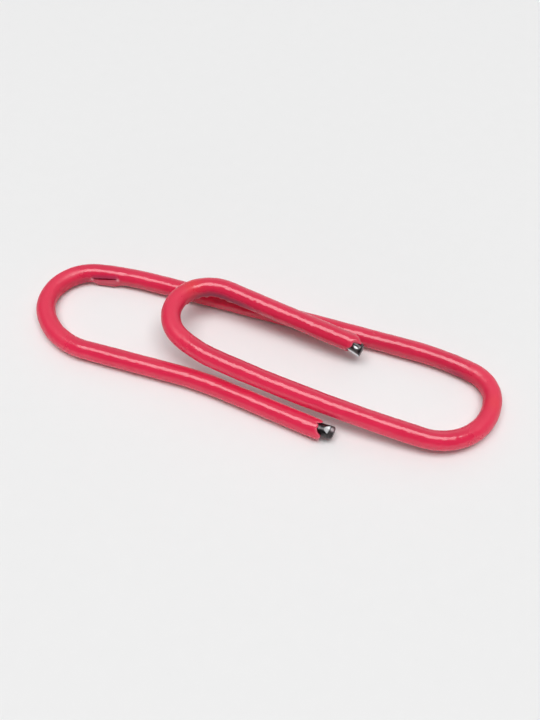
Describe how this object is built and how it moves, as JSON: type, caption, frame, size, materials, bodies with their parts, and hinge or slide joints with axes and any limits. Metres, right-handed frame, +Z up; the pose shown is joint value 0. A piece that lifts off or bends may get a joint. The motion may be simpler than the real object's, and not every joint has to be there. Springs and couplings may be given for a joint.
{
  "type": "paper clip",
  "caption": "Vinyl-coated wire paper clip: a steel core in a plastic sleeve, bent into an outer loop and a sprung, slightly raised inner loop that holds sheets of paper.",
  "frame": {"origin": "on the table, under the centre of the clip's box", "axes": "+X along the clip towards the foot, the round end where the two loops meet; +Y towards the back leg; +Z up from the table"},
  "size_m": [0.033, 0.0101, 0.0033],
  "materials": {
    "wire": "drawn steel wire, sheared at the ends",
    "sleeve": "satin soft vinyl"
  },
  "bodies": {
    "outer_loop": {"outer_loop_wire": "wire", "outer_loop_sleeve": "sleeve"},
    "inner_loop": {"inner_loop_wire": "wire", "inner_loop_sleeve": "sleeve"}
  },
  "joints": [
    {"name": "inner_loop_lift", "type": "hinge", "parent": "outer_loop", "child": "inner_loop", "pos_m": [0.01585, 0.00066, 0.00066], "axis": [0, 1, 0], "range_deg": [0, 12], "stiffness_Nm_per_rad": 0.2}
  ]
}
